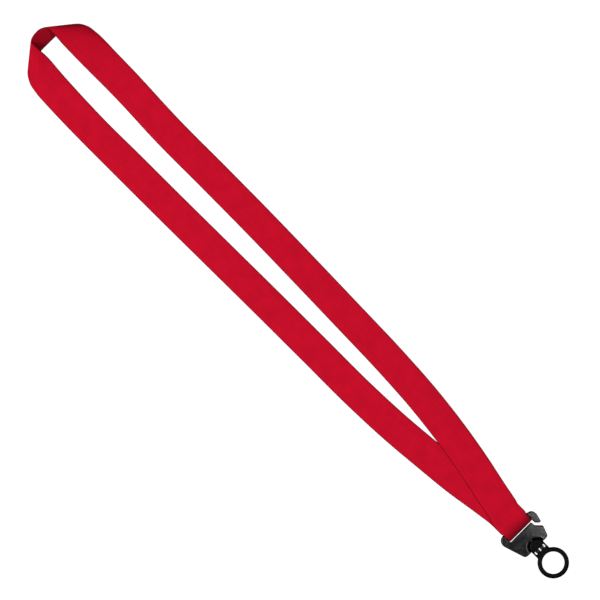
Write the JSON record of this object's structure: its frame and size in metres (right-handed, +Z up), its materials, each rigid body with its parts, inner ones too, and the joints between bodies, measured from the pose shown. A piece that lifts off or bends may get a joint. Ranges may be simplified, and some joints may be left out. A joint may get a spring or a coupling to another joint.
{
  "type": "neck lanyard",
  "caption": "Neck lanyard: a flat webbing loop sewn around the bar of a moulded open-gate clip, with a round swivel eye snapped onto the clip's split pin.",
  "frame": {"origin": "on the table surface, under the middle of the clip and the swivel eye taken together, without the webbing", "axes": "+Z up from the table, +Y from the swivel eye towards the strap, +X towards the clip's open gate"},
  "size_m": [0.0549, 0.4677, 0.0183],
  "materials": {
    "red_webbing": "flat woven polyester, slightly satin",
    "red_thread": "twisted polyester sewing thread",
    "black_clip_plastic": "moulded acetal, satin gloss",
    "black_ring_plastic": "moulded acetal, satin gloss"
  },
  "bodies": {
    "strap": {"neck_strap": "red_webbing"},
    "clip": {"clip_body": "black_clip_plastic", "strap_fold": "red_webbing", "seam_stitching": "red_thread"},
    "ring": {"swivel_ring": "black_ring_plastic"}
  },
  "joints": [
    {"name": "clip_tilt", "type": "hinge", "parent": "strap", "child": "clip", "pos_m": [0.0002, 0.0315, 0.0014], "axis": [1, 0, 0], "range_deg": [-90, 90]},
    {"name": "ring_swivel", "type": "hinge", "parent": "clip", "child": "ring", "pos_m": [0, 0.005, 0.002], "axis": [0, 1, 0], "continuous": true}
  ]
}
